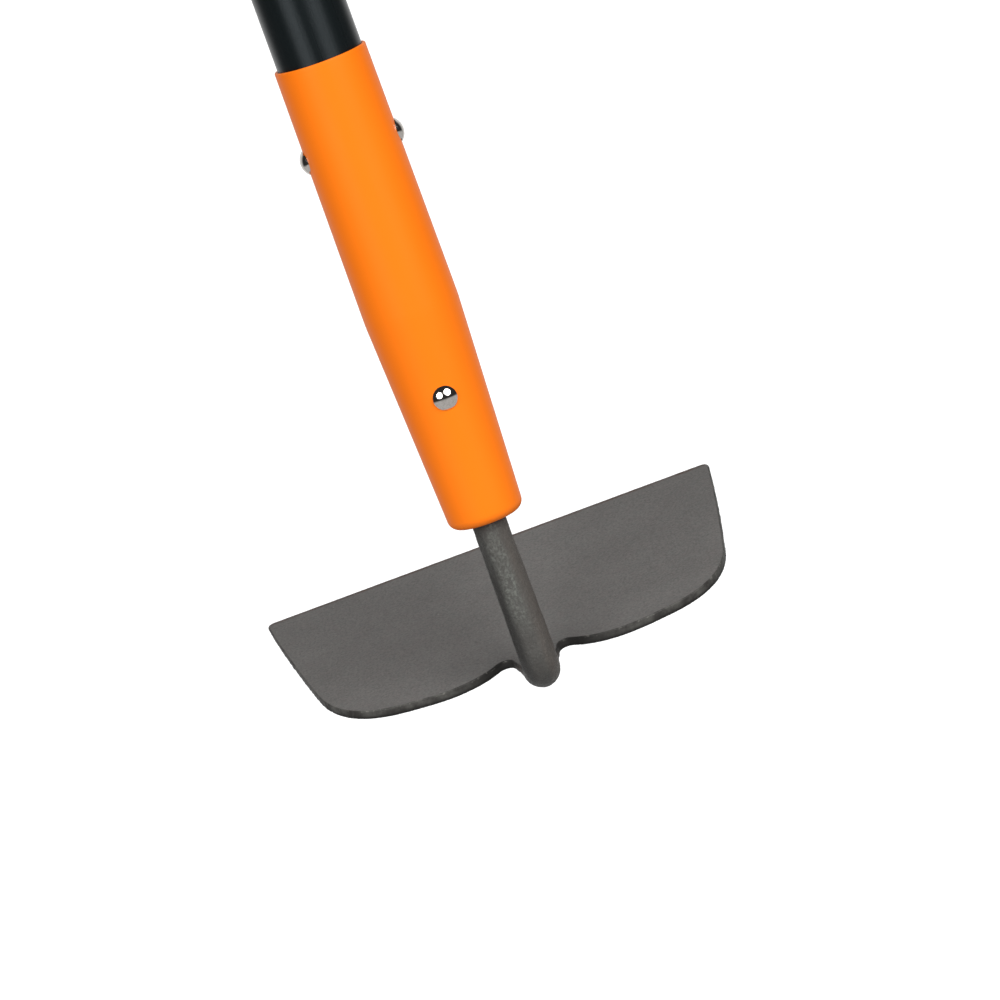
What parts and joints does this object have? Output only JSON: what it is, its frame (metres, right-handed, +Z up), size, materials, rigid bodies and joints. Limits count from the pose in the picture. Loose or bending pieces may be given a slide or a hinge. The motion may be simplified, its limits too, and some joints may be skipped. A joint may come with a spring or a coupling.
{
  "type": "garden hoe",
  "caption": "Long-handled draw hoe: flat blade on a bent steel neck, riveted ferrule, tube handle with grip and hang hole.",
  "frame": {"origin": "centre of the hang hole in the end cap, on the handle's axis", "axes": "+Z up the handle, from the blade to the end cap; +Y along the hang hole, the way the blade reaches; +X along the blade's width"},
  "size_m": [0.16, 0.1247, 1.5],
  "materials": {
    "grey_steel": "matte",
    "orange_plastic": "satin",
    "core_plastic": "matte",
    "rivet_steel": "polished",
    "black_aluminium": "satin",
    "grip_rubber": "matte",
    "cap_plastic": "satin"
  },
  "bodies": {
    "root": {"blade": "grey_steel", "neck": "grey_steel", "neck_weld": "grey_steel", "ferrule": "orange_plastic", "core_half_left": "core_plastic", "core_half_right": "core_plastic", "upper_rivet": "rivet_steel", "lower_rivet": "rivet_steel", "handle_tube": "black_aluminium", "grip_sleeve": "grip_rubber", "end_cap": "cap_plastic"}
  },
  "joints": []
}
